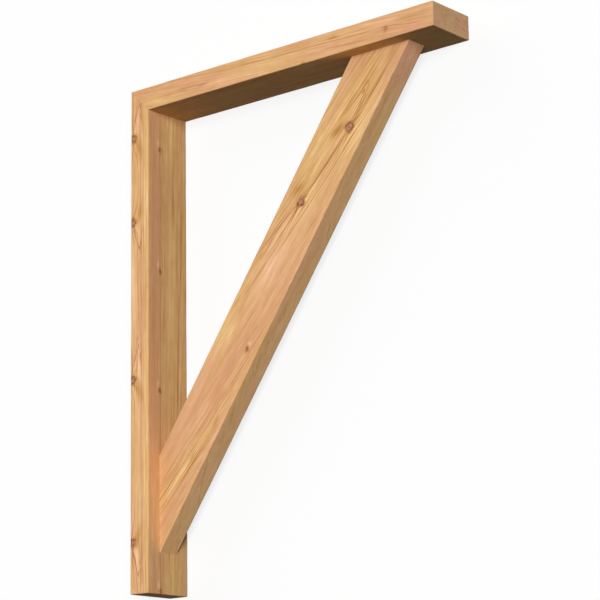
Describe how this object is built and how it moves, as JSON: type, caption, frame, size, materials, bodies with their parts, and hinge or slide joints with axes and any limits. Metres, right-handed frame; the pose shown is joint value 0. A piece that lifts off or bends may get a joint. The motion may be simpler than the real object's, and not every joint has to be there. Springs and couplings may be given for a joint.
{
  "type": "wooden bracket",
  "caption": "Softwood knee bracket: a wall leg and a top arm meet in a mitre and a diagonal brace on edge stiffens the corner.",
  "frame": {"origin": "middle of the bounding box's bottom, on the floor that the bracket lies on", "axes": "+Y up the wall when fitted, +X out from the wall along the arm, +Z across the boards' width, up from the floor as it lies"},
  "size_m": [0.6096, 0.8128, 0.0889],
  "materials": {
    "softwood": "planed and sanded, bare"
  },
  "bodies": {
    "root": {"wall_leg": "softwood", "top_arm": "softwood", "brace": "softwood"}
  },
  "joints": []
}
